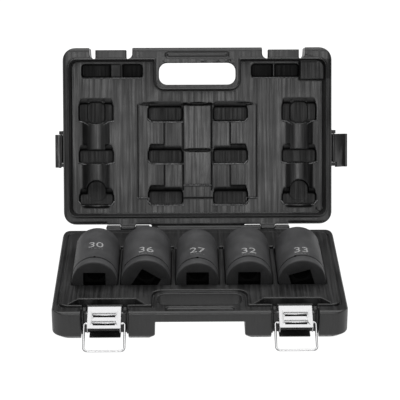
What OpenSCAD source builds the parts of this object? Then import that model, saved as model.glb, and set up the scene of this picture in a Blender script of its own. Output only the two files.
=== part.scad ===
// Deep impact sockets in a double-wall moulded case with draw latches and side clips.
// Origin: centre of the base's underside. +X right, -Y towards the handle side, +Z up.
// The lid is modelled shut and then turned open about its hinge, which is the rest pose.

/* [Case] */
// Width of the case
case_w = 330; // [328:1:336]
// Depth of the case, from the handle side to the hinge side
case_d = 217; // [216:1:220]
// Height of the base up to the parting plane
base_h = 34; // [34:1:36]
// Height of the lid above the parting plane
lid_h = 48; // [48:1:52]
// Radius of the case's corners in plan
corner_r = 16; // [12:1:20]
// Bevel along the outer edges of the top and the bottom
edge_bevel = 5; // [3:0.5:6]
// Thickness of each moulded skin
skin = 2.5; // [2:0.25:2.75]
// Angle to which the lid opens
open_angle = 111; // [100:1:115]

/* [Tray] */
// Height of the tray above the parting plane
tray_rise = 1.5; // [1:0.25:2]
// Half the width of the tray
tray_x = 157; // [156:0.5:158]
// Distance from the handle side to the tray
tray_front_gap = 15; // [14.5:0.25:15.5]
// Distance from the hinge side to the tray
tray_rear_gap = 11; // [10:0.5:12]
// Radius of the tray's corners
tray_r = 9; // [6:1:12]
// Depth of the seal groove round the tray
groove_depth = 2.5; // [2:0.25:3]

/* [Handle] */
// Width of the finger hole
hole_w = 94; // [86:1:96]
// Depth of the finger hole
hole_d = 26.6; // [24:0.2:28]
// Depth of the handle bar
bar_d = 18.7; // [17:0.1:20]
// Thickness of the handle bar in the base
base_bar_h = 12; // [10:0.5:14]
// Thickness of the handle bar in the lid
lid_bar_h = 13; // [11:0.5:15]
// Width of the clearance behind the bar
notch_w = 100; // [98:1:102]

/* [Sockets] */
// Size of each socket's hexagon across its flats
socket_size = [30, 36, 27, 32, 33]; // [24:1:38]
// Outer diameter of each socket
socket_d = [52, 56.5, 49, 53, 54]; // [48:0.5:57]
// Place of each socket across the tray
socket_x = [-119.5, -61, -2, 57, 117.5]; // [-125:0.5:125]
// Turn of each socket about its own axis, anticlockwise from the drive end
socket_roll = [0, 58, 0, 90, 17]; // [0:1:90]
// Smaller nose at the hexagon end, as a cut in diameter
socket_step = [0, 0, 1.2, 0, 1.2]; // [0:0.1:2]
// Length of the sockets
socket_len = 94; // [88:1:95]
// Distance from the drive face to the smaller nose
step_at = [80, 80, 80, 68, 68]; // [60:1:84]
// Width of the square drive hole
drive_w = 25.6; // [25.4:0.05:25.8]
// Depth of the square drive hole
drive_depth = 28; // [25:1:30]
// Depth of the hexagon hole
hex_depth = 44; // [36:1:50]
// Height of the socket axes above the tray
axis_rise = 2.3; // [2:0.1:3]

/* [Latches] */
// Distance of each latch from the middle of the case
latch_x = 105.8; // [105:0.2:107]
// Length of the lever plate
lever_len = 30; // [29:0.5:31]
// Width of the lever
lever_w = 37; // [36:0.5:38]
// Tilt of the open lever below the horizontal
lever_open = 24; // [22:1:30]
// Tilt of the shut lever
lever_shut = 80; // [78:1:80]
// Length of the bail's arms from pivot to bar
bail_len = 34; // [33.5:0.25:34.25]
// Distance between the middles of the bail's arms
bail_w = 45; // [44.5:0.25:45.5]
// Diameter of the bail's wire
wire_d = 2.5; // [2.4:0.1:2.6]

/* [Side clips] */
// Length of the clips along the case's side
clip_len = 41; // [39:0.5:42]
// Opening angle of the left clip
clip_open_left = 171; // [90:1:178]
// Opening angle of the right clip
clip_open_right = 143; // [90:1:178]

/* [Hidden] */
$fn = 48;

overcut = 1;          // how far a cut runs past the surface it opens
run_gap = 0.05;       // radial clearance of every pin in its holes
front = -case_d / 2;
rear = case_d / 2;
side = case_w / 2;
tray_top = base_h + tray_rise;
lid_top = base_h + lid_h;

// tray outline and the finger hole's island
tray_front = front + tray_front_gap;
tray_rear = rear - tray_rear_gap;
lip_gap = 0.6;        // tray lip inside the lid's recess wall
groove_out = 1.8;     // outer wall of the seal groove beyond the recess wall
bead_in = 0.4;        // seal bead on the lid, inner and outer distance
bead_out = 1.4;
bead_h = 1.5;
island_x = 53;
island_rear = -57;
island_r = 12;
hole_front = front + bar_d;
hole_rear = hole_front + hole_d;
hole_r = 10;
notch_flare = 6;
grip_len = 76;        // long shallow groove along the bar
grip_d = 9;
grip_depth = 1.8;

// long slots in the tray beside the handle
slot_outer = 147;
slot_inner = 61;
slot_taper = 11.5;
slot_front = -91;
slot_rear = -77;
slot_depth = 12;

// sockets
axis_z = tray_top + axis_rise;
socket_front = -43;
pocket_gap = 0.8;     // round each socket
pocket_end_gap = 1;
throat_d = 21;
ring_at = 14.5;       // retaining ring groove, from the drive face
ring_r = 2;
ring_sink = 0.6;
pin_hole_d = 4;
socket_chamfer = 1.5;

// hinge
hinge_y = rear + 4;
hinge_z = base_h;
hinge_x = 86;
knuckle_r = 3.6;
knuckle_l = 17.4;
knuckle_pitch = 17.8;
knuckle_web = 7.6;
hinge_pin_r = 1.5;
ledge_x = 57;
ledge_out = 0.8;
ledge_top = -0.7;
ledge_h = 8;
rib_out = 0.2;
rib_bottom = 1.1;
rib_h = 9;

// latch: places in the plane across the case, measured from the lever's pin
latch_pin_y = front + 9.5;
latch_pin_z = base_h - 5.5;
latch_pin_r = 1.5;
latch_pin_l = 41;
sheet = 1;            // thickness of the lever's sheet
plate_q = 4;          // plate's underside from the pin
plate_s = 5.5;        // lever's inner end from the pin
pivot_s = 11;         // bail's pivot along the lever from the pin
pivot_q = 4;          // bail's pivot below the pin
wire_r = wire_d / 2;
bail_bend = 4;
stub_end = 16.3;
boss_r = 3.4;
boss_w = 30;
recess_w = 52.5;
sill_w = 35;
sill_t = 2;
recess_y = front + 14;
deep_y = front + 17.5;
deep_top = 29;
deep_w = 48;
ramp_w = 5;
ramp_z = base_h - 5.5;
pivot_y = latch_pin_y - pivot_s * cos(lever_open) + pivot_q * sin(lever_open);
pivot_z = latch_pin_z - pivot_s * sin(lever_open) - pivot_q * cos(lever_open);
bail_tilt = asin((pivot_z - wire_r) / bail_len);
shut_y = latch_pin_y - pivot_s * cos(lever_shut) + pivot_q * sin(lever_shut);
shut_z = latch_pin_z - pivot_s * sin(lever_shut) - pivot_q * cos(lever_shut);
hook_y = front + 6.2;
hook_z = shut_z + sqrt(pow(bail_len, 2) - pow(shut_y - hook_y, 2));
louvre_at = [11.4, 22.6];
louvre_l = 26;
louvre_d = 5;
louvre_h = 0.8;
louvre_gap = 1.4;

// keeper on the lid
keeper_w = 38;
keeper_front = front + 2.6;
keeper_root = front + 13.7;
keeper_bottom = base_h + 2.5;
keeper_gap = 0.4;
keeper_sink = 0.3;
notch_r = 6.5;        // corners of the lid's recess round each keeper

// lid's panel
panel_depth = 38;
panel_z = base_h + panel_depth;
pit_depth = 6.5;
pit_r = 4;
pit_w = 43;
outer_cols = [-126.5, 127.5];
outer_rows = [[126.3, 149.3], [74.6, 91.5], [22.8, 37]];
arch_row = [26, 53];
arch_w = 24;
inner_cols = [-40, 41.5];
inner_rows = [[127, 145], [74.6, 91.5], [22.8, 40]];
ridge_w = 33;
ridge_h = 5.5;
ridge_from = 20;
ridge_to = 152;
pad_w = 35.5;
pad_h = 1.5;
pad_from = 47;
pad_to = 149;
shelf_left = [-144, -68];
shelf_right = [68, 127];
shelf_v = [181.5, 198];
shelf_depth = 4.5;
block_x = [127.5, 156];
block_v = [179, 201];
block_h = 20;

// side clips
clip_r = 2.6;
clip_pin_r = 1;
clip_x = side + 3.2;
clip_y = 18.4;
clip_z = base_h + 13;
clip_t = 3;
clip_drop = 25;
lip_from = 18.5;
lip_to = 23.5;
lip_out = 3;
lug_l = 4.5;
lug_gap = 0.3;
lug_inset = 5.9;
catch_depth = 3.5;
catch_bottom = 16;
catch_top = 29;

// ---------- shared shapes ----------

module rounded_rect(w, d, r) {
    square([w - 2 * r, d], center = true);
    square([w, d - 2 * r], center = true);
    for (sx = [-1, 1], sy = [-1, 1])
        translate([sx * (w / 2 - r), sy * (d / 2 - r)]) circle(r);
}

// one half of the case as a solid block, bevelled at its outer edge; g shrinks it
module case_block(height, g) {
    hull() {
        translate([0, 0, g])
            linear_extrude(edge_bevel)
                rounded_rect(case_w - 2 * (edge_bevel + g), case_d - 2 * (edge_bevel + g),
                             corner_r - g);
        translate([0, 0, edge_bevel + g])
            linear_extrude(height - edge_bevel - 2 * g)
                rounded_rect(case_w - 2 * g, case_d - 2 * g, corner_r - g);
    }
}

// plan of the tray, which is also the plan of the lid's recess; g grows it
module tray_plan(g) {
    difference() {
        translate([0, (tray_front + tray_rear) / 2])
            rounded_rect(2 * (tray_x + g), tray_rear - tray_front + 2 * g, tray_r + g);
        translate([0, (front + island_rear) / 2 - island_r / 2 - g / 2])
            rounded_rect(2 * (island_x - g), island_rear - front + island_r - g, island_r - g);
    }
}

module handle_cut(below, above, g) {
    translate([0, (hole_front + hole_rear) / 2, below - overcut])
        linear_extrude(above - below + 2 * overcut)
            rounded_rect(hole_w + 2 * g, hole_d + 2 * g, hole_r + g);
}

// clearance behind the handle bar, flared where it meets the case's broad face
module bar_clearance(bar_face, broad_face, g) {
    run = (broad_face - bar_face) / abs(broad_face - bar_face);
    w = notch_w / 2 + g;
    translate([0, hole_rear + g, 0])
        rotate([90, 0, 0])
            linear_extrude(hole_rear - front + overcut + g)
                polygon([[-w, bar_face - run * g], [w, bar_face - run * g],
                         [w, broad_face - run * notch_flare],
                         [w + notch_flare + overcut, broad_face + run * overcut],
                         [-w - notch_flare - overcut, broad_face + run * overcut],
                         [-w, broad_face - run * notch_flare]]);
}

module along_x(x, y, z, r, l) {
    translate([x, y, z]) rotate([0, 90, 0]) cylinder(h = l, r = r, center = true);
}

module open_lid() {
    translate([0, hinge_y, hinge_z])
        rotate([-open_angle, 0, 0])
            translate([0, -hinge_y, -hinge_z]) children();
}

// ---------- base ----------

module pockets(g) {
    for (i = [0 : 4])
        translate([socket_x[i], socket_front - pocket_end_gap / 2 - g, axis_z])
            rotate([-90, 0, 0])
                cylinder(h = socket_len + 1.5 * pocket_end_gap + 2 * g,
                         d = socket_d[i] + 2 * (pocket_gap + g));
}

module tray_slots(g) {
    for (s = [-1, 1])
        translate([0, 0, tray_top - slot_depth - g])
            linear_extrude(slot_depth + overcut + g)
                polygon([[s * (slot_inner - g), slot_front - g], [s * (slot_outer + g), slot_front - g],
                         [s * (slot_outer - slot_taper + g), slot_rear + g],
                         [s * (slot_inner + slot_taper - g), slot_rear + g]]);
}

module seal_groove(g) {
    translate([0, 0, base_h - groove_depth - g])
        linear_extrude(groove_depth + tray_rise + overcut + g)
            difference() {
                tray_plan(groove_out + g);
                tray_plan(-lip_gap - g);
            }
}

module latch_recess(g) {
    difference() {
        for (s = [-1, 1]) {
            translate([s * latch_x - recess_w / 2 - g, front - overcut, -overcut])
                cube([recess_w + 2 * g, recess_y - front + overcut + g, base_h + 2 * overcut]);
            translate([s * latch_x - deep_w / 2 - g, front - overcut, -overcut])
                cube([deep_w + 2 * g, deep_y - front + overcut + g, deep_top + overcut + g]);
        }
        // a thin sill closes the recess below, between the bail's arms
        if (g == 0)
            for (s = [-1, 1])
                translate([s * latch_x - sill_w / 2, front - 2 * overcut, -2 * overcut])
                    cube([sill_w, deep_y - front + 4 * overcut, sill_t + 2 * overcut]);
    }
}

module clip_catches(g) {
    for (s = [-1, 1])
        translate([s * side - (s > 0 ? catch_depth + g : overcut), clip_y - clip_len / 2 - 2 - g,
                   catch_bottom - g])
            cube([catch_depth + overcut + g, clip_len + 4 + 2 * g, catch_top - catch_bottom + 2 * g]);
}

module base_cuts(g) {
    pockets(g);
    tray_slots(g);
    seal_groove(g);
    latch_recess(g);
    clip_catches(g);
    handle_cut(0, tray_top, g);
    bar_clearance(base_h - base_bar_h, 0, g);
}

// where the bail's arms fold back over the tray's lip
module bail_ramps() {
    for (s = [-1, 1], a = [-1, 1])
        translate([s * latch_x + a * bail_w / 2 - ramp_w / 2, 0, 0])
            rotate([90, 0, 90])
                linear_extrude(ramp_w)
                    polygon([[recess_y - overcut, ramp_z - overcut],
                             [recess_y + tray_top - ramp_z + overcut, tray_top + overcut],
                             [recess_y - overcut, tray_top + overcut]]);
}

module base_hinge() {
    for (s = [-1, 1], k = [-1, 1]) {
        along_x(s * hinge_x + k * knuckle_pitch, hinge_y, hinge_z, knuckle_r, knuckle_l);
        translate([s * hinge_x + k * knuckle_pitch - knuckle_l / 2, rear - overcut,
                   hinge_z - knuckle_web])
            cube([knuckle_l, hinge_y - rear + overcut, knuckle_web]);
    }
    translate([-ledge_x, rear - overcut, hinge_z + ledge_top - ledge_h])
        cube([2 * ledge_x, hinge_y - rear + overcut + ledge_out, ledge_h]);
}

module latch_bosses() {
    for (s = [-1, 1]) {
        along_x(s * latch_x, latch_pin_y, latch_pin_z, boss_r, boss_w);
        translate([s * latch_x - boss_w / 2, latch_pin_y, latch_pin_z - boss_r])
            cube([boss_w, deep_y - latch_pin_y + overcut, 2 * boss_r]);
    }
}

module base_shell() {
    color("#2b2b2c")
        difference() {
            union() {
                difference() {
                    union() {
                        case_block(base_h, 0);
                        translate([0, 0, base_h - groove_depth - overcut])
                            linear_extrude(groove_depth + overcut + tray_rise) tray_plan(-lip_gap);
                    }
                    base_cuts(0);
                    bail_ramps();
                    difference() {
                        case_block(base_h, skin);
                        base_cuts(skin);
                    }
                    translate([0, front + bar_d / 2, base_h - grip_depth])
                        linear_extrude(grip_depth + overcut) rounded_rect(grip_len, grip_d, grip_d / 2 - 0.1);
                }
                base_hinge();
                latch_bosses();
            }
            for (s = [-1, 1]) {
                along_x(s * hinge_x, hinge_y, hinge_z, hinge_pin_r + run_gap, 4 * knuckle_pitch);
                along_x(s * latch_x, latch_pin_y, latch_pin_z, latch_pin_r + run_gap, 2 * boss_w);
            }
        }
}

// ---------- lid, modelled shut ----------

module lid_recess(g) {
    translate([0, 0, base_h - overcut])
        linear_extrude(panel_depth + overcut + g) tray_plan(g);
}

module pit(c, v, w, r, g) {
    translate([c, rear - (v[0] + v[1]) / 2, panel_z - ridge_h - overcut])
        linear_extrude(ridge_h + pit_depth + overcut + g)
            rounded_rect(w + 2 * g, v[1] - v[0] + 2 * g, r + g);
}

module panel_pits(g) {
    for (c = outer_cols, v = outer_rows) pit(c, v, pit_w, pit_r, g);
    for (c = inner_cols, v = inner_rows) pit(c, v, pit_w, pit_r, g);
    for (c = outer_cols) pit(c, arch_row, arch_w, arch_w / 2 - 0.2, g);
}

module panel_shelves(g) {
    for (sx = [shelf_left, shelf_right])
        translate([(sx[0] + sx[1]) / 2, rear - (shelf_v[0] + shelf_v[1]) / 2, panel_z - overcut])
            linear_extrude(shelf_depth + overcut + g)
                rounded_rect(sx[1] - sx[0] + 2 * g, shelf_v[1] - shelf_v[0] + 2 * g, pit_r + g);
}

// the lid's latch recess, which runs right through so that the bail's arms can pass
module keeper_recess(g) {
    for (s = [-1, 1])
        translate([s * latch_x, front, base_h - overcut])
            linear_extrude(lid_h + 2 * overcut)
                rounded_rect(recess_w + 2 * g, 2 * (keeper_root - front + g), notch_r + g);
}

module lid_cuts(g) {
    lid_recess(g);
    panel_pits(g);
    panel_shelves(g);
    keeper_recess(g);
    handle_cut(base_h, lid_top, g);
    bar_clearance(base_h + lid_bar_h, lid_top, g);
}

// raised relief on the panel: two round ridges, a middle pad and a corner block
module panel_relief() {
    ridge_r = (pow(ridge_w / 2, 2) + pow(ridge_h, 2)) / (2 * ridge_h);
    for (c = outer_cols)
        intersection() {
            translate([c, rear - ridge_to, panel_z - ridge_h + ridge_r])
                rotate([-90, 0, 0]) cylinder(h = ridge_to - ridge_from, r = ridge_r);
            translate([c - ridge_w / 2, rear - ridge_to, panel_z - ridge_h])
                cube([ridge_w, ridge_to - ridge_from, ridge_h + overcut]);
        }
    translate([-pad_w / 2, rear - pad_to, panel_z - pad_h])
        cube([pad_w, pad_to - pad_from, pad_h + overcut]);
    translate([block_x[0], rear - block_v[1], panel_z - block_h])
        cube([block_x[1] - block_x[0] + overcut, block_v[1] - block_v[0] + overcut, block_h + overcut]);
}

module keepers() {
    for (s = [-1, 1])
        difference() {
            translate([s * latch_x - keeper_w / 2, keeper_front, keeper_bottom])
                cube([keeper_w, keeper_root - keeper_front + overcut,
                      hook_z - keeper_sink - keeper_bottom]);
            along_x(s * latch_x, hook_y, hook_z, wire_r + keeper_gap, keeper_w + 2 * overcut);
        }
}

module lid_hinge() {
    for (s = [-1, 1]) {
        along_x(s * hinge_x, hinge_y, hinge_z, knuckle_r, knuckle_l);
        translate([s * hinge_x - knuckle_l / 2, rear - overcut, hinge_z])
            cube([knuckle_l, hinge_y - rear + overcut, knuckle_web]);
    }
    translate([-ledge_x, rear - overcut, hinge_z + rib_bottom])
        cube([2 * ledge_x, hinge_y - rear + overcut + rib_out, rib_h]);
}

// the two lugs on each side that hold a clip's pin
module clip_lugs() {
    for (s = [-1, 1], y = [clip_y - clip_len / 2 - lug_gap - lug_l, clip_y + clip_len / 2 - lug_inset]) {
        translate([s * clip_x, y, clip_z]) rotate([-90, 0, 0]) cylinder(h = lug_l, r = clip_r);
        translate([s > 0 ? side - overcut : -clip_x, y, clip_z - clip_r])
            cube([clip_x - side + overcut, lug_l, 2 * clip_r]);
    }
}

module shut_lid() {
    difference() {
        union() {
            difference() {
                translate([0, 0, base_h + lid_top]) mirror([0, 0, 1])
                    translate([0, 0, base_h]) case_block(lid_h, 0);
                lid_cuts(0);
                difference() {
                    translate([0, 0, base_h + lid_top]) mirror([0, 0, 1])
                        translate([0, 0, base_h]) case_block(lid_h, skin);
                    lid_cuts(skin);
                }
            }
            difference() {
                panel_relief();
                panel_pits(0);
            }
            keepers();
            lid_hinge();
            clip_lugs();
            translate([0, 0, base_h - bead_h])
                linear_extrude(bead_h + overcut)
                    difference() {
                        tray_plan(bead_out);
                        tray_plan(bead_in);
                    }
        }
        for (s = [-1, 1]) {
            along_x(s * hinge_x, hinge_y, hinge_z, hinge_pin_r + run_gap, 2 * knuckle_pitch);
            translate([s * clip_x, clip_y, clip_z]) rotate([90, 0, 0])
                cylinder(h = 2 * clip_len, r = clip_pin_r + run_gap, center = true);
        }
    }
}

module lid_shell() {
    color("#2b2b2c") open_lid() shut_lid();
}

// ---------- pins ----------

module hinge_pin(s) {
    color("#b9b9bd") along_x(s * hinge_x, hinge_y, hinge_z, hinge_pin_r, 3 * knuckle_pitch);
}

module latch_pin(s) {
    color("#d0d0d4") along_x(s * latch_x, latch_pin_y, latch_pin_z, latch_pin_r, latch_pin_l);
}

module clip_pin(s) {
    color("#b9b9bd")
        open_lid()
            translate([s * clip_x, clip_y - clip_len / 2 - lug_gap - lug_l, clip_z])
                rotate([-90, 0, 0])
                    cylinder(h = clip_len + lug_gap + 2 * lug_l - lug_inset, r = clip_pin_r);
}

// ---------- draw latches ----------

// side view of a lever's flange: x runs towards the case, y away from the plate's underside
module flange_side() {
    hull() {
        translate([-lever_len + plate_s, plate_q]) square([lever_len, sheet]);
        circle(r = 2 * latch_pin_r);
        translate([-pivot_s, -pivot_q]) circle(r = 2.2 * wire_r);
        translate([-lever_len + plate_s + 2, -pivot_q + 1]) circle(r = 2);
    }
}

module lever_body() {
    difference() {
        union() {
            translate([-lever_w / 2, plate_s - lever_len, plate_q]) cube([lever_w, lever_len, sheet]);
            for (x = [-lever_w / 2, lever_w / 2 - sheet])
                translate([x, 0, 0]) rotate([90, 0, 90]) linear_extrude(sheet) flange_side();
            for (a = louvre_at)
                translate([0, plate_s - a, plate_q + sheet - 0.01])
                    linear_extrude(louvre_h) rounded_rect(louvre_l, louvre_d, louvre_d / 2 - 0.1);
        }
        for (a = louvre_at)
            translate([0, plate_s - a - louvre_d / 2, plate_q - overcut])
                linear_extrude(sheet + louvre_h / 2 + overcut)
                    rounded_rect(louvre_l - louvre_d, louvre_gap, louvre_gap / 2 - 0.1);
        along_x(0, 0, 0, latch_pin_r + run_gap, 2 * lever_w);
        along_x(0, -pivot_s, -pivot_q, wire_r + run_gap, 2 * lever_w);
    }
}

module latch_lever(s) {
    color("#dcdce0")
        translate([s * latch_x, latch_pin_y, latch_pin_z]) rotate([lever_open, 0, 0]) lever_body();
}

// quarter bend of wire that joins the +X and the +Y directions at its ends
module wire_bend(r) {
    rotate_extrude(angle = 90) translate([r, 0]) circle(wire_r);
}

module bail_wire() {
    pivot_bend = 2.5;
    for (m = [0, 1]) mirror([m, 0, 0]) {
        translate([bail_w / 2, -pivot_bend, 0]) rotate([90, 0, 0])
            cylinder(h = bail_len - bail_bend - pivot_bend, r = wire_r);
        translate([bail_w / 2 - pivot_bend, -pivot_bend, 0]) wire_bend(pivot_bend);
        translate([stub_end, 0, 0]) rotate([0, 90, 0])
            cylinder(h = bail_w / 2 - pivot_bend - stub_end, r = wire_r);
        translate([bail_w / 2 - bail_bend, -bail_len + bail_bend, 0]) rotate([0, 0, -90])
            wire_bend(bail_bend);
    }
    along_x(0, -bail_len, 0, wire_r, bail_w - 2 * bail_bend);
}

module latch_bail(s) {
    color("#d6d6da")
        translate([s * latch_x, pivot_y, pivot_z]) rotate([bail_tilt, 0, 0]) bail_wire();
}

// ---------- side clips ----------

// a right-hand clip hanging shut from its pin, which is the origin
module clip_body() {
    knuckle_l = clip_len - lug_inset - lug_gap;
    difference() {
        union() {
            translate([0, -clip_len / 2, 0]) rotate([-90, 0, 0])
                cylinder(h = knuckle_l, r = clip_r);
            translate([-clip_r, -clip_len / 2, -clip_drop])
                cube([clip_t, clip_len, clip_drop - clip_r - 3 * lug_gap]);
            translate([-clip_r, -clip_len / 2, -clip_r - 5 * lug_gap])
                cube([clip_t, knuckle_l, clip_r + 5 * lug_gap]);
            translate([-clip_r - lip_out, -clip_len / 2, -lip_to])
                cube([lip_out + lug_gap, clip_len, lip_to - lip_from]);
        }
        rotate([90, 0, 0]) cylinder(h = 2 * clip_len, r = clip_pin_r + run_gap, center = true);
    }
}

module side_clip(s) {
    color("#303032")
        open_lid()
            translate([s * clip_x, clip_y, clip_z])
                mirror([s < 0 ? 1 : 0, 0, 0])
                    rotate([0, -(s < 0 ? clip_open_left : clip_open_right), 0]) clip_body();
}

// ---------- sockets ----------

// an impact socket standing on its drive end
module socket_body(i) {
    r = socket_d[i] / 2;
    nose_r = r - socket_step[i] / 2;
    difference() {
        rotate_extrude()
            polygon([[0, 0], [r - socket_chamfer, 0], [r, socket_chamfer], [r, step_at[i]],
                     [nose_r, step_at[i] + socket_step[i] / 2], [nose_r, socket_len - socket_chamfer],
                     [nose_r - socket_chamfer, socket_len], [0, socket_len]]);
        translate([0, 0, ring_at]) rotate_extrude() translate([r + ring_sink, 0]) circle(ring_r);
        translate([-drive_w / 2, -drive_w / 2, -overcut])
            cube([drive_w, drive_w, drive_depth + overcut]);
        cylinder(h = socket_len, d = throat_d);
        translate([0, 0, socket_len - hex_depth])
            cylinder(h = hex_depth + overcut, r = socket_size[i] / sqrt(3), $fn = 6);
        translate([0, 0, ring_at]) rotate([90, 0, 0])
            cylinder(h = 2 * r, d = pin_hole_d, center = true);
    }
}

module impact_socket(i) {
    color("#333336")
        translate([socket_x[i], socket_front, axis_z])
            rotate([-90, 0, 0]) rotate([0, 0, -socket_roll[i]]) socket_body(i);
}

base_shell();
lid_shell();
hinge_pin(-1);  // hinge_pin_left
hinge_pin(1);  // hinge_pin_right
latch_lever(-1);  // latch_lever_left
latch_lever(1);  // latch_lever_right
latch_pin(-1);  // latch_pin_left
latch_pin(1);  // latch_pin_right
latch_bail(-1);  // latch_bail_left
latch_bail(1);  // latch_bail_right
side_clip(-1);  // side_clip_left
side_clip(1);  // side_clip_right
clip_pin(-1);  // clip_pin_left
clip_pin(1);  // clip_pin_right
impact_socket(0);  // socket_30_mm
impact_socket(1);  // socket_36_mm
impact_socket(2);  // socket_27_mm
impact_socket(3);  // socket_32_mm
impact_socket(4);  // socket_33_mm
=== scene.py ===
"""An open carrying case with five deep impact sockets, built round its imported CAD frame."""

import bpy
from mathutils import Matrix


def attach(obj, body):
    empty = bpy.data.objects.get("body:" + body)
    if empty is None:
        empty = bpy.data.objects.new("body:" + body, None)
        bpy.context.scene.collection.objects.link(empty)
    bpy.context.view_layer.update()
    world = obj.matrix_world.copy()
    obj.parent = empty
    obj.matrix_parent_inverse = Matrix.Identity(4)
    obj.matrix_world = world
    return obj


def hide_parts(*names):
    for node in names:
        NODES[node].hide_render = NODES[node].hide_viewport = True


bl_info = {
    "name": "Impact socket case",
    "version": (1, 0, 0),
    "blender": (4, 2, 0),
    "location": "View3D > Sidebar > Socket case",
    "description": "Builds the moulded case, its latches, clips and sockets",
    "category": "Add Mesh",
}

from math import cos, pi, radians, sin, sqrt

import bpy
from mathutils import Matrix, Vector

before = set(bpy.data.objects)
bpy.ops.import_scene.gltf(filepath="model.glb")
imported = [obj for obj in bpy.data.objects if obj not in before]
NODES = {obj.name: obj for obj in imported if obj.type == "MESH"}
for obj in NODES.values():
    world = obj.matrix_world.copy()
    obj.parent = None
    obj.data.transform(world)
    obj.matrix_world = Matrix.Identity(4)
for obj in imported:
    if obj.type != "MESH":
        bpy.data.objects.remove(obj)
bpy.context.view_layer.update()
MM = 0.001

# the lid's hinge line, and the turn from shut to the open pose the frame is stored in
HINGE = Vector((0, 0.1125, 0.034))
OPEN = radians(-111)
SOCKETS = {
    "socket_30_mm": (30, 52, -119.5, 0),
    "socket_36_mm": (36, 56.5, -61, 58),
    "socket_27_mm": (27, 49, -2, 0),
    "socket_32_mm": (32, 53, 57, 90),
    "socket_33_mm": (33, 54, 117.5, 17),
}
SOCKET_AXIS_Z = 37.8
DRIVE_FACE_Y = -43.0
STEPS = {27: 80, 33: 68}
# where the figures' middles lie along the case
FIGURES_AT = {30: 3.5, 27: -8.8}
FIGURES_USUAL = -14.5
SOCKET_LENGTH = 94.0
THROAT_RADIUS = 10.5
RING_AT = 14.5
HALF_SQUARE = 12.8
# the draw latches: distance from the middle, lever pin, and the levers' rest tilt in degrees
LATCH_X = 105.8
LEVER_PIN = (-99, 28.5)
LEVER_TILT = 24
LOUVRES = (-5.9, -17.1)
SIDES = {"left": -1, "right": 1}


# ---------------------------------------------------------------- material maths


class Value:
    """One number, colour or vector in a finish, so that shader maths reads as Python."""

    def __init__(self, finish, socket):
        self.finish = finish
        self.socket = socket

    def maths(self, operation, *others):
        return self.finish.add("ShaderNodeMath", {"operation": operation},
                               dict(enumerate((self,) + others)))

    def __add__(self, other):
        return self.maths("ADD", other)

    __radd__ = __add__

    def __sub__(self, other):
        return self.maths("SUBTRACT", other)

    def __rsub__(self, other):
        return self.finish.add("ShaderNodeMath", {"operation": "SUBTRACT"}, {0: other, 1: self})

    def __mul__(self, other):
        return self.maths("MULTIPLY", other)

    __rmul__ = __mul__

    def fade(self, start, end):
        """0 before start, 1 past end, with a smooth change between."""
        return self.finish.add("ShaderNodeMapRange", {"interpolation_type": "SMOOTHSTEP"},
                               {0: self, 1: start, 2: end, 3: 0.0, 4: 1.0})


class Finish:
    """A procedural material under construction."""

    def __init__(self, name, **uniform):
        self.material = bpy.data.materials.new(name)
        self.material.use_nodes = True
        self.tree = self.material.node_tree
        self.shader = self.tree.nodes["Principled BSDF"]
        for socket, value in uniform.items():
            self.shader.inputs[socket.replace("_", " ")].default_value = value

    def add(self, kind, settings=None, inputs=None, output=0):
        node = self.tree.nodes.new(kind)
        for key, value in (settings or {}).items():
            setattr(node, key, value)
        for key, value in (inputs or {}).items():
            if isinstance(value, Value):
                self.tree.links.new(value.socket, node.inputs[key])
            else:
                node.inputs[key].default_value = value
        return Value(self, node.outputs[output])

    def place(self, turn=0.0):
        """Object coordinates in metres, turned about the hinge line."""
        where = self.add("ShaderNodeTexCoord", output=3)
        shift = HINGE - Matrix.Rotation(turn, 3, "X") @ HINGE if turn else (0, 0, 0)
        return self.add("ShaderNodeMapping", inputs={0: where, 1: shift, 2: (turn, 0, 0)})

    def stretched(self, place, factors):
        return self.add("ShaderNodeMapping", inputs={0: place, 3: factors})

    def painted(self, layer):
        return self.add("ShaderNodeAttribute", {"attribute_name": layer}, output=2)

    def noise(self, place, scale, detail=3.0, roughness=0.55):
        return self.add("ShaderNodeTexNoise", inputs={
            "Vector": place, "Scale": scale, "Detail": detail, "Roughness": roughness})

    def axis(self, place, which):
        return self.add("ShaderNodeSeparateXYZ", inputs={0: place}, output=which)

    def blend(self, amount, first, second):
        return self.add("ShaderNodeMix", {"data_type": "RGBA"},
                        {0: amount, 6: first, 7: second}, output=2)

    def bump(self, height, strength, distance, normal=None):
        inputs = {"Strength": strength, "Distance": distance, "Height": height}
        if normal:
            inputs["Normal"] = normal
        return self.add("ShaderNodeBump", inputs=inputs)

    def dull(self, amount, level):
        """Mixes in painted shade by this amount: the finish fades to a shineless dark, as in a
        crevice.
        """
        dark = self.tree.nodes.new("ShaderNodeBsdfPrincipled")
        dark.inputs["Base Color"].default_value = grey(level)
        dark.inputs["Roughness"].default_value = 0.8
        dark.inputs["Specular IOR Level"].default_value = 0.06
        mix = self.tree.nodes.new("ShaderNodeMixShader")
        self.tree.links.new(amount.socket, mix.inputs[0])
        self.tree.links.new(self.shader.outputs[0], mix.inputs[1])
        self.tree.links.new(dark.outputs[0], mix.inputs[2])
        self.tree.links.new(mix.outputs[0], self.tree.nodes["Material Output"].inputs[0])

    def feed(self, **sockets):
        for socket, value in sockets.items():
            self.tree.links.new(value.socket, self.shader.inputs[socket.replace("_", " ")])
        return self.material


def grey(level, tint=0.0):
    return (level, level, level * (1 + tint), 1.0)


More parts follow.
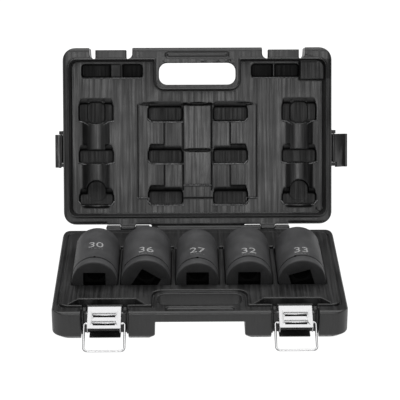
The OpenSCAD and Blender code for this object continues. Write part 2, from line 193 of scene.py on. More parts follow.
def moulded_plastic(name, shade, turn=0.0, relief=True):
    """Blow-moulded black plastic: fine grain and long flow streaks; with relief, painted
    highlights on edges and painted shade in crevices, pits and a corner.
    """
    finish = Finish(name, Specular_IOR_Level=0.5)
    straight = finish.place(turn)
    grain = finish.noise(straight, 900.0, 2.0)
    streaks = finish.noise(finish.stretched(straight, (1, 0.03, 0.15)), 400.0, 4.0, 0.62)
    cloud = finish.noise(straight, 22.0, 3.0)
    tone = streaks.fade(0.34, 0.68) * 0.65 + cloud.fade(0.3, 0.7) * 0.35
    colour = finish.blend(tone, grey(shade * 0.35, 0.02), grey(shade * 1.7, 0.02))
    rough = 0.25 + 0.28 * tone + 0.08 * grain
    # with relief, the fold layer and position masks paint highlight and shade into the finish
    if relief:
        fold = finish.painted("fold")
        # painted highlight on the convex edges of the fold layer
        edge_highlight = fold.fade(0.54, 0.70)
        # painted shade in the crevices of the fold layer
        painted_shade = 1 - fold.fade(0.04, 0.24)
        if turn:
            across, along, depth = (finish.axis(straight, axis) for axis in (0, 1, 2))
            # painted shade deep in the lid's pits, a little lighter on their floors
            deep = (depth.fade(0.0728, 0.0745) * (1 - depth.fade(0.0812, 0.0816))
                    * (1 - across.maths("ABSOLUTE").fade(0.155, 0.157))
                    * along.fade(-0.0945, -0.0935) * (1 - along.fade(0.0965, 0.0975)))
            # painted shade on the lid's corner block
            corner_shade = (across.fade(0.1275, 0.1285) * along.fade(-0.0945, -0.0935)
                      * (1 - along.fade(-0.0705, -0.0695)))
            painted_shade = painted_shade.maths("MAXIMUM", deep * (0.95 - 0.25 * depth.fade(0.0794, 0.08)))
            painted_shade = painted_shade.maths("MAXIMUM", corner_shade * 0.5)
        # upward faces are spared most of the painted shade, as the top light falls on them
        top_lit = finish.axis(finish.add("ShaderNodeNewGeometry", output=1), 2).fade(0.62, 0.9)
        painted_shade = painted_shade * (1 - top_lit * 0.8)
        # painted highlight: convex edges are laid with a pale grey
        colour = finish.blend(edge_highlight * 0.8, colour, grey(shade * 12.0, 0.02))
        # painted shade: crevices, pits and the corner block fade to a shineless dark
        finish.dull(painted_shade * 0.93, shade * 0.15)
    bumps = finish.bump(streaks, 0.12, 0.0009, finish.bump(grain, 0.16, 0.00025))
    return finish.feed(Base_Color=colour, Roughness=rough, Normal=bumps)


def oxide_steel(name):
    """Manganese phosphate on forged steel: dull charcoal with a dusty bloom and turning marks."""
    finish = Finish(name, Metallic=0.0, Specular_IOR_Level=0.3)
    straight = finish.place()
    bloom = finish.noise(straight, 48.0, 5.0, 0.6)
    grain = finish.noise(straight, 2300.0, 2.0)
    turned = finish.noise(finish.stretched(straight, (1, 9, 1)), 260.0, 2.0)
    tone = bloom.fade(0.32, 0.7) * 0.6 + grain * 0.4
    colour = finish.blend(tone, grey(0.032, 0.03), grey(0.064, 0.03))
    rough = 0.50 + 0.12 * bloom
    relief = finish.bump(turned, 0.05, 0.0003, finish.bump(grain, 0.22, 0.00012))
    # painted shade: the faced drive end and the ring groove fade to a darker, shineless skin than
    # the turned barrel
    along = finish.axis(straight, 1)
    groove = along.fade(-0.0302, -0.0298) * (1 - along.fade(-0.0272, -0.0268))
    face = 1 - along.fade(-0.0426, -0.0408)
    finish.dull((face * 0.68).maths("MAXIMUM", groove * 0.75), 0.006)
    return finish.feed(Base_Color=colour, Roughness=rough, Normal=relief)


def bore_steel(name):
    """Painted shade for the unlit inside of a drive square, hexagon or louvre slot: near-black
    oxide with an oily sheen.
    """
    finish = Finish(name, Specular_IOR_Level=0.08)
    grain = finish.noise(finish.place(), 700.0, 3.0)
    return finish.feed(Base_Color=finish.blend(grain, grey(0.002), grey(0.007)),
                       Roughness=0.6 + 0.2 * grain)


def plated_steel(name, shade=0.86, polish=0.16):
    """Bright nickel plate over pressed sheet or wire, with faint draw lines and smears."""
    finish = Finish(name, Metallic=1.0)
    straight = finish.place()
    smear = finish.noise(straight, 90.0, 4.0)
    lines = finish.noise(finish.stretched(straight, (14, 1, 1)), 210.0, 3.0)
    colour = finish.blend(smear.fade(0.3, 0.75), grey(shade * 0.93, 0.012), grey(shade, 0.004))
    rough = polish + 0.10 * smear.fade(0.42, 0.8) + 0.05 * lines
    relief = finish.bump(lines, 0.05, 0.0002)
    return finish.feed(Base_Color=colour, Roughness=rough, Normal=relief)


def size_marking(name):
    """Pale etched figures on the oxide skin, slightly broken up."""
    finish = Finish(name, Specular_IOR_Level=0.3)
    broken = finish.noise(finish.place(), 1500.0, 3.0)
    colour = finish.blend(broken.fade(0.34, 0.6), grey(0.10), grey(0.40))
    return finish.feed(Base_Color=colour, Roughness=0.55 + 0.15 * broken)


def studio_paper(name):
    finish = Finish(name, Roughness=0.9, Specular_IOR_Level=0.1,
                    Emission_Color=grey(1.0), Emission_Strength=1.0)
    fibre = finish.noise(finish.place(), 30.0, 2.0)
    return finish.feed(Base_Color=finish.blend(fibre, grey(0.10), grey(0.12)))


# ---------------------------------------------------------------- modelling helpers


def alone(*objects):
    """Selects only these objects, the first one active."""
    if bpy.context.object and bpy.context.object.mode != "OBJECT":
        bpy.ops.object.mode_set(mode="OBJECT")
    bpy.ops.object.select_all(action="DESELECT")
    for item in objects:
        item.select_set(True)
    bpy.context.view_layer.objects.active = objects[0]


def settle(piece):
    """Puts a piece's place into its mesh."""
    alone(piece)
    bpy.ops.object.transform_apply(location=True, rotation=True, scale=True)
    return piece


def block(name, low, high):
    """A cube primitive between two corners in millimetres."""
    middle = [(a + b) / 2 * MM for a, b in zip(low, high)]
    bpy.ops.object.select_all(action="DESELECT")
    bpy.ops.mesh.primitive_cube_add(size=1, location=middle)
    piece = bpy.context.object
    piece.name = name
    piece.scale = [(b - a) * MM for a, b in zip(low, high)]
    return settle(piece)


def rounded_block(name, low, high, radius, steps=6, chosen=None):
    """A block whose edges (all, or those the test chooses by direction and middle) are rounded."""
    piece = block(name, low, high)
    for edge in piece.data.edges:
        a, b = (piece.data.vertices[v].co for v in edge.vertices)
        edge.select = chosen is None or chosen((b - a).normalized(), (a + b) / 2)
    return soften(piece, radius, steps)


def soften(piece, radius, steps=6):
    """Bevels the selected edges of a piece to a round of this radius in millimetres."""
    picked = [edge.select for edge in piece.data.edges]
    alone(piece)
    bpy.ops.object.mode_set(mode="EDIT")
    bpy.ops.mesh.select_mode(type="EDGE")
    bpy.ops.mesh.select_all(action="DESELECT")
    bpy.ops.object.mode_set(mode="OBJECT")
    for edge, on in zip(piece.data.edges, picked):
        edge.select = on
    bpy.ops.object.mode_set(mode="EDIT")
    bpy.ops.mesh.bevel(offset=radius * MM, segments=steps, profile=0.5, affect="EDGES")
    bpy.ops.object.mode_set(mode="OBJECT")
    return piece


def rod(name, start, end, radius, sides=48):
    """A cylinder primitive from one point to another, in millimetres."""
    a, b = Vector(start) * MM, Vector(end) * MM
    turn = (b - a).to_track_quat("Z", "Y").to_euler()
    bpy.ops.object.select_all(action="DESELECT")
    bpy.ops.mesh.primitive_cylinder_add(vertices=sides, radius=radius * MM, depth=(b - a).length,
                                        location=(a + b) / 2, rotation=turn)
    piece = bpy.context.object
    piece.name = name
    return settle(piece)


def finish_with(piece, kind, **settings):
    """Adds a modifier and applies it."""
    alone(piece)
    made = piece.modifiers.new(kind, kind)
    for key, value in settings.items():
        setattr(made, key, value)
    bpy.ops.object.modifier_apply(modifier=made.name)
    return piece


def combine(piece, operation, *tools):
    """Cuts, joins or intersects a piece with tools, which are used up."""
    for tool in tools:
        finish_with(piece, "BOOLEAN", operation=operation, object=tool, solver="EXACT")
        bpy.data.objects.remove(tool)
    return piece


def copy_of(node, name):
    """A CAD node's shape as a new piece with its points merged."""
    source = NODES[node]
    piece = source.copy()
    piece.data = source.data.copy()
    piece.name = name
    piece.data.name = name
    bpy.context.collection.objects.link(piece)
    piece.parent = None
    piece.matrix_world = Matrix.Identity(4)
    alone(piece)
    bpy.ops.object.mode_set(mode="EDIT")
    bpy.ops.mesh.select_all(action="SELECT")
    bpy.ops.mesh.remove_doubles(threshold=1e-6)
    bpy.ops.object.mode_set(mode="OBJECT")
    return piece


def outer_skin(piece):
    """Drops the sealed hollow inside a double wall and keeps the outer surface."""
    alone(piece)
    bpy.ops.object.mode_set(mode="EDIT")
    bpy.ops.mesh.select_all(action="SELECT")
    bpy.ops.mesh.separate(type="LOOSE")
    bpy.ops.object.mode_set(mode="OBJECT")
    parts = list(bpy.context.selected_objects)
    parts.sort(key=lambda part: -max(part.dimensions))
    kept = parts[0]
    for part in parts[1:]:
        bpy.data.objects.remove(part)
    return kept


def turn_lid(piece, angle):
    """Turns a piece about the case's hinge line."""
    about_hinge = Matrix.Rotation(angle, 4, "X") @ Matrix.Translation(-HINGE)
    piece.data.transform(Matrix.Translation(HINGE) @ about_hinge)
    return piece


def mould(piece, grid, rounds, faces):
    """Remeshes a piece evenly and relaxes it, which rounds every edge as a mould does."""
    alone(piece)
    piece.data.remesh_voxel_size = grid * MM
    piece.data.remesh_voxel_adaptivity = 0
    bpy.ops.object.voxel_remesh()
    finish_with(piece, "SMOOTH", factor=0.5, iterations=rounds)
    count = len(piece.data.polygons) * 2
    if count > faces:
        finish_with(piece, "DECIMATE", ratio=faces / count)
    alone(piece)
    bpy.ops.object.shade_smooth()
    return piece


def hull_of(name, *parts):
    """Joins parts and wraps them in their convex hull."""
    alone(*parts)
    bpy.ops.object.join()
    piece = bpy.context.object
    piece.name = name
    bpy.ops.object.mode_set(mode="EDIT")
    bpy.ops.mesh.select_all(action="SELECT")
    bpy.ops.mesh.convex_hull()
    bpy.ops.object.mode_set(mode="OBJECT")
    return piece


def joined(name, *parts):
    alone(*parts)
    bpy.ops.object.join()
    piece = bpy.context.object
    piece.name = name
    return piece


def lathe(name, profile, steps=96):
    """Turns (radius, height) points in millimetres about the Z axis."""
    bpy.ops.object.select_all(action="DESELECT")
    bpy.ops.mesh.primitive_plane_add(size=MM)
    piece = bpy.context.object
    piece.name = name
    bpy.ops.object.mode_set(mode="EDIT")
    bpy.ops.mesh.select_all(action="SELECT")
    bpy.ops.mesh.merge(type="CENTER")
    bpy.ops.object.mode_set(mode="OBJECT")
    piece.data.vertices[0].co = Vector((profile[0][0], 0, profile[0][1])) * MM
    alone(piece)
    bpy.ops.object.mode_set(mode="EDIT")
    bpy.ops.mesh.select_all(action="SELECT")
    for (r0, z0), (r1, z1) in zip(profile, profile[1:]):
        bpy.ops.mesh.extrude_vertices_move(
            TRANSFORM_OT_translate={"value": ((r1 - r0) * MM, 0, (z1 - z0) * MM)})
    bpy.ops.mesh.select_all(action="SELECT")
    bpy.ops.mesh.spin(steps=steps, angle=2 * pi, center=(0, 0, 0), axis=(0, 0, 1))
    bpy.ops.mesh.select_all(action="SELECT")
    bpy.ops.mesh.remove_doubles(threshold=1e-6)
    bpy.ops.mesh.normals_make_consistent(inside=False)
    bpy.ops.object.mode_set(mode="OBJECT")
    return piece


def crisp(piece, width, angle=35):
    """Breaks sharp edges by a small round and shades the rest smooth."""
    finish_with(piece, "BEVEL", width=width * MM, segments=2, limit_method="ANGLE",
                angle_limit=radians(angle), harden_normals=False)
    alone(piece)
    bpy.ops.object.shade_smooth_by_angle(angle=radians(angle))
    return piece


def paint_folds(piece):
    """Stores how far each point sits in a crevice (0) or on an edge (1) as a colour layer."""
    layer = piece.data.color_attributes.new("fold", "BYTE_COLOR", "CORNER")
    piece.data.color_attributes.active_color = layer
    alone(piece)
    bpy.ops.object.mode_set(mode="VERTEX_PAINT")
    bpy.ops.paint.vertex_color_dirt(blur_strength=1.0, blur_iterations=2, clean_angle=pi,
                                    dirt_angle=0.0, normalize=False)
    bpy.ops.object.mode_set(mode="OBJECT")
    return piece


def dress(piece, material, body, slot, *nodes):
    """Gives a finished piece its material and its body, and hides the CAD nodes it stands for."""
    piece.data.materials.clear()
    piece.data.materials.append(material)
    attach(piece, body)
    if nodes:
        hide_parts(*nodes)


def dress_node(node, material):
    for place in NODES[node].material_slots:
        place.material = material


# ---------------------------------------------------------------- sizes a user would change


class CaseSettings(bpy.types.PropertyGroup):
    shade: bpy.props.FloatProperty(
        name="Plastic shade", description="Lightness of the black plastic",
        default=0.010, min=0.0, max=1.0)
    grid: bpy.props.FloatProperty(
        name="Mould grid", description="Mesh size the shells are moulded on, in millimetres",
        default=1.0, min=0.5, max=3.0)
    rounds: bpy.props.IntProperty(
        name="Edge rounding", description="How far the moulded edges are relaxed",
        default=5, min=0, max=30)


class StageSettings(bpy.types.PropertyGroup):
    lens: bpy.props.FloatProperty(
        name="Lens", description="Focal length of the camera in millimetres",
        default=142.07, min=10.0, max=300.0)
    distance: bpy.props.FloatProperty(
        name="Distance", description="Camera's distance from the point it looks at",
        default=1.8043, min=0.3, unit="LENGTH")
    elevation: bpy.props.FloatProperty(
        name="Elevation", description="Camera's angle above the floor",
        default=radians(24.038), subtype="ANGLE")
    azimuth: bpy.props.FloatProperty(
        name="Azimuth", description="Camera's turn round the case",
        default=radians(-0.666), subtype="ANGLE")
    target: bpy.props.FloatVectorProperty(
        name="Target", description="Point the camera looks at", size=3,
        default=(0.001246, 0.0, 0.121481), subtype="TRANSLATION")


# ---------------------------------------------------------------- pieces


class CASE_OT_base(bpy.types.Operator):
    """Mould the base with its tray, handle and hinge knuckles"""

    bl_idname = "socket_case.base"
    bl_label = "Moulded base"

    def execute(self, context):
        sizes = context.scene.case_settings
        piece = outer_skin(copy_of("base_shell", "base_moulding"))
        limits = rounded_block("limits", (-165, -108.5, 0), (165, 108.5, 34), 4.0)
        combine(limits, "UNION",
                block("tray", (-159.6, -96, 30), (159.6, 100, 36)),
                block("hinge", (-112, 104, 18), (112, 122, 39)))
        combine(piece, "INTERSECT", limits)
        for across in (-90.6, -31.6, 27.2, 87.0):
            combine(piece, "DIFFERENCE",
                    block("web_notch", (across - 2.2, 50, 31.5), (across + 2.2, 56.5, 38)))
        combine(piece, "UNION", rod("barrel", (-50, 112.5, 34), (62, 112.5, 34), 3.2),
                block("web", (-50, 107, 31.5), (62, 112.5, 33.8)))
        mould(piece, sizes.grid, sizes.rounds, 190000)
        paint_folds(piece)
        dress(piece, moulded_plastic("base_plastic", sizes.shade), "base", "case_plastic",
              "base_shell")
        return {"FINISHED"}


PANEL = 72.0          # height of the shut lid's inner panel, in millimetres
OUTER = (-126.5, 127.5)
INNER = (-40, 41.5)
PIT_W = 43.0
HINGE_EDGE = 108.5
PITS = [(column, rows, PIT_W) for column in OUTER
        for rows in ((126.3, 149.3), (74.6, 91.5), (22.8, 37.0))]
PITS += [(column, rows, PIT_W) for column in INNER
         for rows in ((127.0, 145.0), (74.6, 91.5), (22.8, 40.0))]


def panel_block(name, across, rows, depth, round_to=0):
    """A block on the panel: rows count from the hinge edge, depths into the lid are positive."""
    low = (across[0], HINGE_EDGE - rows[1], PANEL + depth[0])
    high = (across[1], HINGE_EDGE - rows[0], PANEL + depth[1])
    if round_to:
        return rounded_block(name, low, high, round_to, 5,
                             lambda way, middle: abs(way.z) > 0.9)
    return block(name, low, high)


class CASE_OT_lid(bpy.types.Operator):
    """Mould the lid with its panel relief, keepers and clip lugs"""

    bl_idname = "socket_case.lid"
    bl_label = "Moulded lid"

    def execute(self, context):
        sizes = context.scene.case_settings
        piece = turn_lid(outer_skin(copy_of("lid_shell", "lid_moulding")), -OPEN)
        limits = rounded_block("limits", (-165, -108.5, 34), (165, 108.5, 82), 4.5)
        combine(limits, "UNION",
                block("bead", (-159.5, -95.5, 31), (159.5, 99.5, 36)),
                block("hinge", (-112, 104, 28), (112, 122, 47)),
                block("lugs_left", (-172, -12, 41), (-164, 46, 53)),
                block("lugs_right", (164, -12, 41), (172, 46, 53)))
        combine(piece, "INTERSECT", limits)
        # raised middle field and its pad
        added = [panel_block("field", (-74, 74), (31, 148), (-0.9, 1)),
                 panel_block("pad", (-17.5, 17.5), (47, 147), (-2.3, 1))]
        combine(piece, "UNION", *added)
        cuts = []
        for column, (low, high), width in PITS:
            half = width / 2 + 0.13
            cuts.append(panel_block("pit", (column - half, column + half),
                                    (low - 0.13, high + 0.13), (-8, 8.1), 4))
        for column in OUTER:
            cuts.append(panel_block("arch", (column - 12.2, column + 12.2), (27, 53.2),
                                    (-9, 8.4), 11.6))
            cuts.append(panel_block("hexagon", (column - 11, column + 11), (124.2, 151.6),
                                    (-9, 8.7), 7))
        for side in (-1, 1):
            for rows in ((40, 74.6), (91.5, 127)):
                near, far = sorted((side * 17.6, side * 41.5))
                cuts.append(panel_block("strip", (near, far), rows, (-3, 0.9)))
        for across, along, length in ((-59, 148.5, 14), (0.5, 148.5, 13), (57.8, 148.5, 14),
                                      (2, 90.5, 21)):
            bpy.ops.object.select_all(action="DESELECT")
            bpy.ops.mesh.primitive_uv_sphere_add(
                segments=32, ring_count=16, radius=MM,
                location=(across * MM, (HINGE_EDGE - along) * MM, (PANEL - 1) * MM))
            lens = bpy.context.object
            lens.scale = (length, 1.9, 3.2)
            cuts.append(settle(lens))
        cuts.append(panel_block("shelf", (-144.1, -67.9), (181.4, 198.1), (-8, 7), 4))
        cuts.append(panel_block("shelf", (67.9, 127.1), (181.4, 198.1), (-8, 7), 4))
        for column, (low, high), width in PITS:
            half = width / 2 - 1
            cuts.append(hull_of(
                "slope",
                panel_block("a", (column - half, column + half), (high - 1, high), (-3, 2.6)),
                panel_block("b", (column - half + 2, column + half - 2), (high, high + 6.5),
                            (-3, 0.02))))
        slot = rounded_block("slot", (-38.5, -103.4, 30), (38.5, -96, 35.4), 3.4, 5,
                             lambda way, middle: abs(way.z) > 0.9)
        core = rounded_block("core", (-36.6, -101.5, 29), (36.6, -97.9, 36), 1.7, 5,
                             lambda way, middle: abs(way.z) > 0.9)
        cuts.append(combine(slot, "DIFFERENCE", core))
        combine(piece, "DIFFERENCE", *cuts)
        combine(piece, "UNION",
                panel_block("divider", (-108, -93), (181, 199), (1.6, 8)),
                panel_block("divider", (-94.5, -93), (181, 199), (0.4, 8)),
                panel_block("divider", (94.5, 97), (181, 199), (0.8, 8)))
        mould(piece, sizes.grid, sizes.rounds, 195000)
        paint_folds(piece)
        turn_lid(piece, OPEN)
        dress(piece, moulded_plastic("lid_plastic", sizes.shade, -OPEN), "lid",
              "case_plastic", "lid_shell")
        beads = joined("lid_beads", *self.beads())
        turn_lid(beads, OPEN)
        alone(beads)
        bpy.ops.object.shade_smooth()
        # the lips take a plastic fourteen times paler than the lid's: a painted highlight along
        # them
        dress(beads, moulded_plastic("lip_highlight_plastic", sizes.shade * 14, -OPEN, False), "lid",
              "case_plastic")
        return {"FINISHED"}

    def beads(self):
        """The sharp lips below the pits and shelves, and the corners of the middle field."""
        paths = []
        for column, (low, high), width in PITS:
            half = width / 2
            if abs(column) < 60:
                near = -1 if column > 0 else 1
                dips = ((-near * (half + 1), low + 4, 0.2), (-near * (half - 4), low - 1, -1.3),
                        (-near * 3, low - 1.2, -1.3), (near * (half + 1), low - 1.2, -1.3))
            elif high > 120:
                dips = ((-half - 1, low + 1, -0.6), (-15, low - 0.4, -0.8), (-9, low - 4, -3.2),
                        (0, low - 5.4, -4.4), (9, low - 4, -3.2), (15, low - 0.4, -0.8),
                        (half + 1, low + 1, -0.6))
            elif high > 60:
                dips = ((-half - 1, low + 0.6, -0.6), (-13, low - 1.4, -1.8), (0, low - 1, -4.4),
                        (13, low - 1.4, -1.8), (half + 1, low + 0.6, -0.6))
            else:
                dips = ((-half - 1, low + 4, 0.2), (-half + 3, low - 1, -0.6),
                        (half - 3, low - 1, -0.6), (half + 1, low + 4, 0.2))
            paths.append((0.75, [(column + a, v, depth) for a, v, depth in dips]))
        paths += [(0.6, [(side * 75, 31, -0.8), (side * 61, 31, -0.8), (side * 61, 25, -0.3)])
                  for side in (-1, 1)]
        paths += [(0.7, [(-17, 46.8, -2.2), (17, 46.8, -2.2)]),
                  (0.75, [(-143, 181, -0.2), (-69, 181, -0.2)]),
                  (0.75, [(69, 181, -0.2), (126, 181, -0.2)])]
        made = []
        for radius, path in paths:
            places = [(x, HINGE_EDGE - v, PANEL + depth) for x, v, depth in path]
            made += [rod("bead", a, b, radius, 12) for a, b in zip(places, places[1:])]
            for place in places:
                bpy.ops.object.select_all(action="DESELECT")
                bpy.ops.mesh.primitive_uv_sphere_add(segments=12, ring_count=8, radius=radius * MM,
                                                     location=Vector(place) * MM)
                made.append(settle(bpy.context.object))
        return made


class CASE_OT_latches(bpy.types.Operator):
    """Press the draw latches' levers and finish their bails and pins"""

    bl_idname = "socket_case.latches"
    bl_label = "Draw latches"

    def execute(self, context):
        bright = plated_steel("nickel_plate", 0.35, 0.24)
        wire = plated_steel("nickel_wire", 0.44, 0.08)
        dull = plated_steel("pin_steel", 0.12, 0.4)
        slot_shade = bore_steel("slot_shadow")
        for side, sign in SIDES.items():
            lever = self.lever("lever_pressing_" + side)
            place = (Matrix.Translation(Vector((sign * LATCH_X, *LEVER_PIN)) * MM)
                     @ Matrix.Rotation(radians(LEVER_TILT), 4, "X"))
            lever.data.transform(place)
            # which faces carry the painted slot shadow, kept across the material change
            shaded = [face.material_index for face in lever.data.polygons]
            dress(lever, bright, "lever_" + side, "plated_steel", "latch_lever_" + side)
            lever.data.materials.append(slot_shade)
            lever.data.polygons.foreach_set("material_index", shaded)
            dress_node("latch_bail_" + side, wire)
            for pin in ("hinge_pin_", "latch_pin_", "clip_pin_"):
                dress_node(pin + side, dull)
        return {"FINISHED"}

    def lever(self, name):
        """A pressed lever about its pin: the plate runs along -Y, its flanges hang below."""
        piece = block(name, (-18.5, -24.5, 4), (18.5, 5.5, 5))
        for edge in (-18.5, 17.5):
            flange = hull_of("flange",
                             block("a", (edge, -24.5, 4), (edge + 1, 5.5, 5)),
                             rod("b", (edge, 0, 0), (edge + 1, 0, 0), 3.0),
                             rod("c", (edge, -11, -4), (edge + 1, -11, -4), 2.75),
                             rod("d", (edge, -22.5, -3), (edge + 1, -22.5, -3), 2.0))
            combine(piece, "UNION", flange)
        for along in LOUVRES:
            combine(piece, "UNION",
                    hull_of("hood", rod("a", (-12.6, along, 4.0), (12.6, along, 4.0), 1.7, 32),
                            rod("b", (-13.6, along, 4.0), (13.6, along, 4.0), 1.0, 32)))
        for along in LOUVRES:
            combine(piece, "DIFFERENCE",
                    block("crease", (-13.2, along + 1.8, 4.5), (13.2, along + 2.7, 7)),
                    rounded_block("slot", (-12.4, along - 3.5, 4.35), (12.4, along - 1.2, 9),
                                  0.9, 3, lambda way, middle: abs(way.z) > 0.9))
        combine(piece, "DIFFERENCE",
                rod("pin_hole", (-30, 0, 0), (30, 0, 0), 1.55),
                rod("wire_hole", (-30, -11, -4), (30, -11, -4), 1.3))
        crisp(piece, 0.22)
        piece.data.materials.append(None)
        piece.data.materials.append(None)
        # the louvre slots' floors take the second material, a painted shadow
        for face in piece.data.polygons:
            x, y, z = face.center / MM
            if abs(x) < 13.3 and 4.2 < z < 4.7 and -22 < y < -2:
                face.material_index = 1
        return piece


class CASE_OT_clips(bpy.types.Operator):
    """Finish the snap clips on the lid's sides"""

    bl_idname = "socket_case.clips"
    bl_label = "Side clips"

    def execute(self, context):
        shade = context.scene.case_settings.shade * 0.5
        plastic = moulded_plastic("clip_plastic", shade, relief=False)
        for side in SIDES:
            piece = copy_of("side_clip_" + side, "clip_moulding_" + side)
            crisp(piece, 0.35)
            dress(piece, plastic, "clip_" + side, "clip_plastic", "side_clip_" + side)
        return {"FINISHED"}


class CASE_OT_sockets(bpy.types.Operator):
    """Turn the five impact sockets and cut their drive squares and hexagons"""

    bl_idname = "socket_case.sockets"
    bl_label = "Impact sockets"

    def execute(self, context):
        oxide = oxide_steel("phosphate")
        bore = bore_steel("bore_shadow")
        etched = size_marking("etched_figures")
        for node, (size, outer, across, roll) in SOCKETS.items():
            piece = self.socket(node.replace("socket", "turned"), size, outer / 2, roll,
                                STEPS.get(size))
            place = (Matrix.Translation(Vector((across, DRIVE_FACE_Y, SOCKET_AXIS_Z)) * MM)
                     @ Matrix.Rotation(radians(-90), 4, "X"))
            piece.data.transform(place)
            body = node.replace("socket", "body")
            dress(piece, oxide, body, "socket_steel", node)
            piece.data.materials.append(bore)
            axis = Vector((across, 0, SOCKET_AXIS_Z)) * MM
            # faces inside the square, throat and hexagon take the second material, painted shade
            for face in piece.data.polygons:
                from_axis = Vector((face.center.x - axis.x, 0, face.center.z - axis.z)).length
                inside = from_axis < (outer / 2 - 3.2) * MM
                if inside and (abs(face.normal.y) < 0.6 or -42 * MM < face.center.y < 49 * MM):
                    face.material_index = 1
            along = FIGURES_AT.get(size, FIGURES_USUAL)
            figures = self.figures(str(size), across, along, outer / 2, piece)
            dress(figures, etched, body, "socket_steel")
        return {"FINISHED"}

    def socket(self, name, size, radius, roll, step):
        """A socket standing on its drive end at the origin."""
        nose = radius - (0.6 if step else 0)
        step = step or 80
        profile = [(0, 0), (radius - 1.9, 0), (radius - 1.2, 0.25), (radius - 0.5, 0.85),
                   (radius, 2.0), (radius, 12.7), (radius - 0.3, 12.95), (radius - 1.3, 13.3),
                   (radius - 1.4, RING_AT), (radius - 1.3, 15.7), (radius - 0.3, 16.05),
                   (radius, 16.3), (radius, step), (nose, step + 0.8), (nose, SOCKET_LENGTH - 1.8),
                   (nose - 0.5, SOCKET_LENGTH - 0.7), (nose - 1.5, SOCKET_LENGTH),
                   (0, SOCKET_LENGTH)]
        piece = lathe(name, profile)
        square = rounded_block("square", (-HALF_SQUARE, -HALF_SQUARE, -2),
                               (HALF_SQUARE, HALF_SQUARE, 28), 0.9, 3,
                               lambda way, middle: abs(way.z) > 0.9)
        square.data.transform(Matrix.Rotation(radians(-roll), 4, "Z"))
        bpy.ops.object.select_all(action="DESELECT")
        bpy.ops.mesh.primitive_cylinder_add(vertices=6, radius=size / sqrt(3) * MM, depth=50 * MM,
                                            location=(0, 0, 75 * MM),
                                            rotation=(0, 0, radians(30 - roll)))
        hexagon = settle(bpy.context.object)
        throat = rod("throat", (0, 0, -5), (0, 0, 100), THROAT_RADIUS)
        combine(piece, "DIFFERENCE", square, throat, hexagon)
        pin = rod("pin_hole", (0, -40, RING_AT), (0, 40, RING_AT), 2.0, 32)
        pin.data.transform(Matrix.Rotation(radians(-roll), 4, "Z"))
        combine(piece, "DIFFERENCE", pin)
        return crisp(piece, 0.4)

    def figures(self, text, across, along, radius, target):
        """The socket's size in pale figures, laid on its crown."""
        bpy.ops.object.select_all(action="DESELECT")
        bpy.ops.object.text_add(location=(across * MM, along * MM,
                                          (SOCKET_AXIS_Z + radius + 3) * MM))
        label = bpy.context.object
        label.data.body = text
        label.data.size = 18.5 * MM
        label.data.align_x = "CENTER"
        label.data.align_y = "CENTER"
        alone(label)
        bpy.ops.object.convert(target="MESH")
        label = bpy.context.object
        label.name = "figures_" + text
        line = block("line", (across - 8, along - 9.6, SOCKET_AXIS_Z + radius + 2),
                     (across + 8, along - 8.9, SOCKET_AXIS_Z + radius + 2.01))
        settle(label)
        piece = joined("figures_" + text, label, line)
        alone(piece)
        bpy.ops.object.mode_set(mode="EDIT")
        bpy.ops.mesh.select_all(action="SELECT")
        bpy.ops.mesh.quads_convert_to_tris()
        bpy.ops.mesh.subdivide(number_cuts=3)
        bpy.ops.object.mode_set(mode="OBJECT")
        finish_with(piece, "SHRINKWRAP", wrap_method="PROJECT", target=target, offset=0.06 * MM,
                    use_project_z=True, use_negative_direction=True,
                    use_positive_direction=False)
        return piece


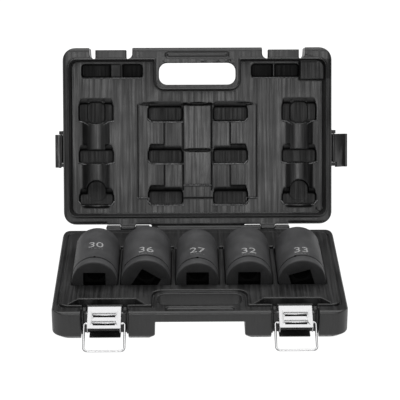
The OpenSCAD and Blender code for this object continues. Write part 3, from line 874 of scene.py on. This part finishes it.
class CASE_OT_stage(bpy.types.Operator):
    """Lay the pale floor and set the lights and the camera"""

    bl_idname = "socket_case.stage"
    bl_label = "Stage"

    def execute(self, context):
        sizes = context.scene.stage_settings
        bpy.ops.object.select_all(action="DESELECT")
        bpy.ops.mesh.primitive_plane_add(size=16, location=(0, 2, 0))
        floor = bpy.context.object
        floor.name = "floor"
        settle(floor)
        floor.data.materials.append(studio_paper("studio_paper"))

        target = Vector(sizes.target)
        flat = cos(sizes.elevation)
        away = Vector((flat * sin(sizes.azimuth), -flat * cos(sizes.azimuth),
                       sin(sizes.elevation)))
        lens = bpy.data.cameras.new("camera")
        lens.lens = sizes.lens
        lens.sensor_width = 36
        lens.clip_end = 60
        camera = bpy.data.objects.new("camera", lens)
        camera.location = target + away * sizes.distance
        camera.rotation_euler = (-away).to_track_quat("-Z", "Y").to_euler()
        context.collection.objects.link(camera)
        context.scene.camera = camera

        for name, place, aim, size, power in (
                ("top_softbox", (0, 0.1, 2.4), (0, 0, 0), 3.4, 92),
                ("front_softbox", (0, -3.2, 1.5), (0, 0, 0.12), 1.2, 32)):
            lamp = bpy.data.lights.new(name, "AREA")
            lamp.shape = "SQUARE"
            lamp.size = size
            lamp.energy = power
            light = bpy.data.objects.new(name, lamp)
            light.location = place
            facing = (Vector(aim) - Vector(place)).to_track_quat("-Z", "Y")
            light.rotation_euler = facing.to_euler()
            context.collection.objects.link(light)

        world = bpy.data.worlds.new("studio")
        world.use_nodes = True
        world.node_tree.nodes["Background"].inputs[0].default_value = grey(1.0)
        world.node_tree.nodes["Background"].inputs[1].default_value = 0.12
        context.scene.world = world
        context.scene.view_settings.view_transform = "Standard"
        return {"FINISHED"}


class CASE_PT_panel(bpy.types.Panel):
    """Buttons and sizes for the socket case"""

    bl_label = "Socket case"
    bl_idname = "CASE_PT_panel"
    bl_space_type = "VIEW_3D"
    bl_region_type = "UI"
    bl_category = "Socket case"

    def draw(self, context):
        for settings in (context.scene.case_settings, context.scene.stage_settings):
            for key in settings.bl_rna.properties.keys():
                if key not in ("rna_type", "name"):
                    self.layout.prop(settings, key)
        for operator in OPERATORS:
            self.layout.operator(operator.bl_idname)


OPERATORS = (CASE_OT_stage, CASE_OT_base, CASE_OT_lid, CASE_OT_latches, CASE_OT_clips,
             CASE_OT_sockets)
CLASSES = (CaseSettings, StageSettings) + OPERATORS + (CASE_PT_panel,)


def register():
    for item in CLASSES:
        bpy.utils.register_class(item)
    bpy.types.Scene.case_settings = bpy.props.PointerProperty(type=CaseSettings)
    bpy.types.Scene.stage_settings = bpy.props.PointerProperty(type=StageSettings)


def unregister():
    del bpy.types.Scene.stage_settings
    del bpy.types.Scene.case_settings
    for item in reversed(CLASSES):
        bpy.utils.unregister_class(item)


def main():
    register()
    for operator in OPERATORS:
        group, name = operator.bl_idname.split(".")
        getattr(getattr(bpy.ops, group), name)()


if __name__ == "__main__":
    main()
